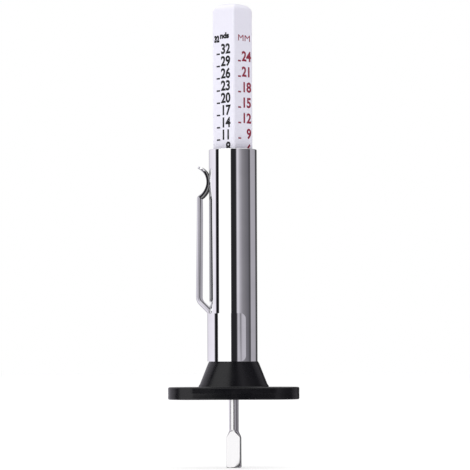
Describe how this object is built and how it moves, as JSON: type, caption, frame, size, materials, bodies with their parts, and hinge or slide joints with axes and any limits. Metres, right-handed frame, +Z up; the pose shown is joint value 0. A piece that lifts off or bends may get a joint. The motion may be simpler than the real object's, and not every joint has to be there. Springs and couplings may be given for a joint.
{
  "type": "tire tread gauge",
  "caption": "Pencil-type tread depth gauge: square scale bar sliding in a metal tube with a pocket clip, moulded foot and flat-tipped probe.",
  "frame": {"origin": "middle of the foot's measuring face, on the probe's axis", "axes": "+Z up the tube towards the scale bar's top, X along the foot, pocket clip towards -X, front of the scale towards -Y"},
  "size_m": [0.0254, 0.0106, 0.0899],
  "materials": {
    "foot_plastic": "fine moulded satin",
    "tube_chrome": "bright plated, lightly handled",
    "clip_chrome": "bright plated spring steel",
    "scale_plastic": "smooth white moulding with printed scales",
    "ring_plastic": "natural nylon",
    "probe_steel": "drawn wire, bright"
  },
  "bodies": {
    "barrel": {"base_foot": "foot_plastic", "barrel_tube": "tube_chrome", "clip_band": "clip_chrome"},
    "clip_spring": {"clip_arm": "clip_chrome"},
    "piston_ring": {"friction_ring": "ring_plastic"},
    "slider": {"scale_bar": "scale_plastic", "probe_pin": "probe_steel"}
  },
  "joints": [
    {"name": "clip_flex", "type": "hinge", "parent": "barrel", "child": "clip_spring", "pos_m": [-0.00717, 0.00101, 0.0197], "axis": [-0.1392, -0.9903, 0], "range_deg": [0, 6], "stiffness_Nm_per_rad": 0.5, "springref_deg": -2.01},
    {"name": "probe_slide", "type": "slide", "parent": "barrel", "child": "piston_ring", "axis": [0, 0, 1], "range_m": [-0.0187, 0.01315]},
    {"name": "scale_turn", "type": "hinge", "parent": "piston_ring", "child": "slider", "pos_m": [0, 0, 0.0319], "axis": [0, 0, 1], "continuous": true}
  ]
}
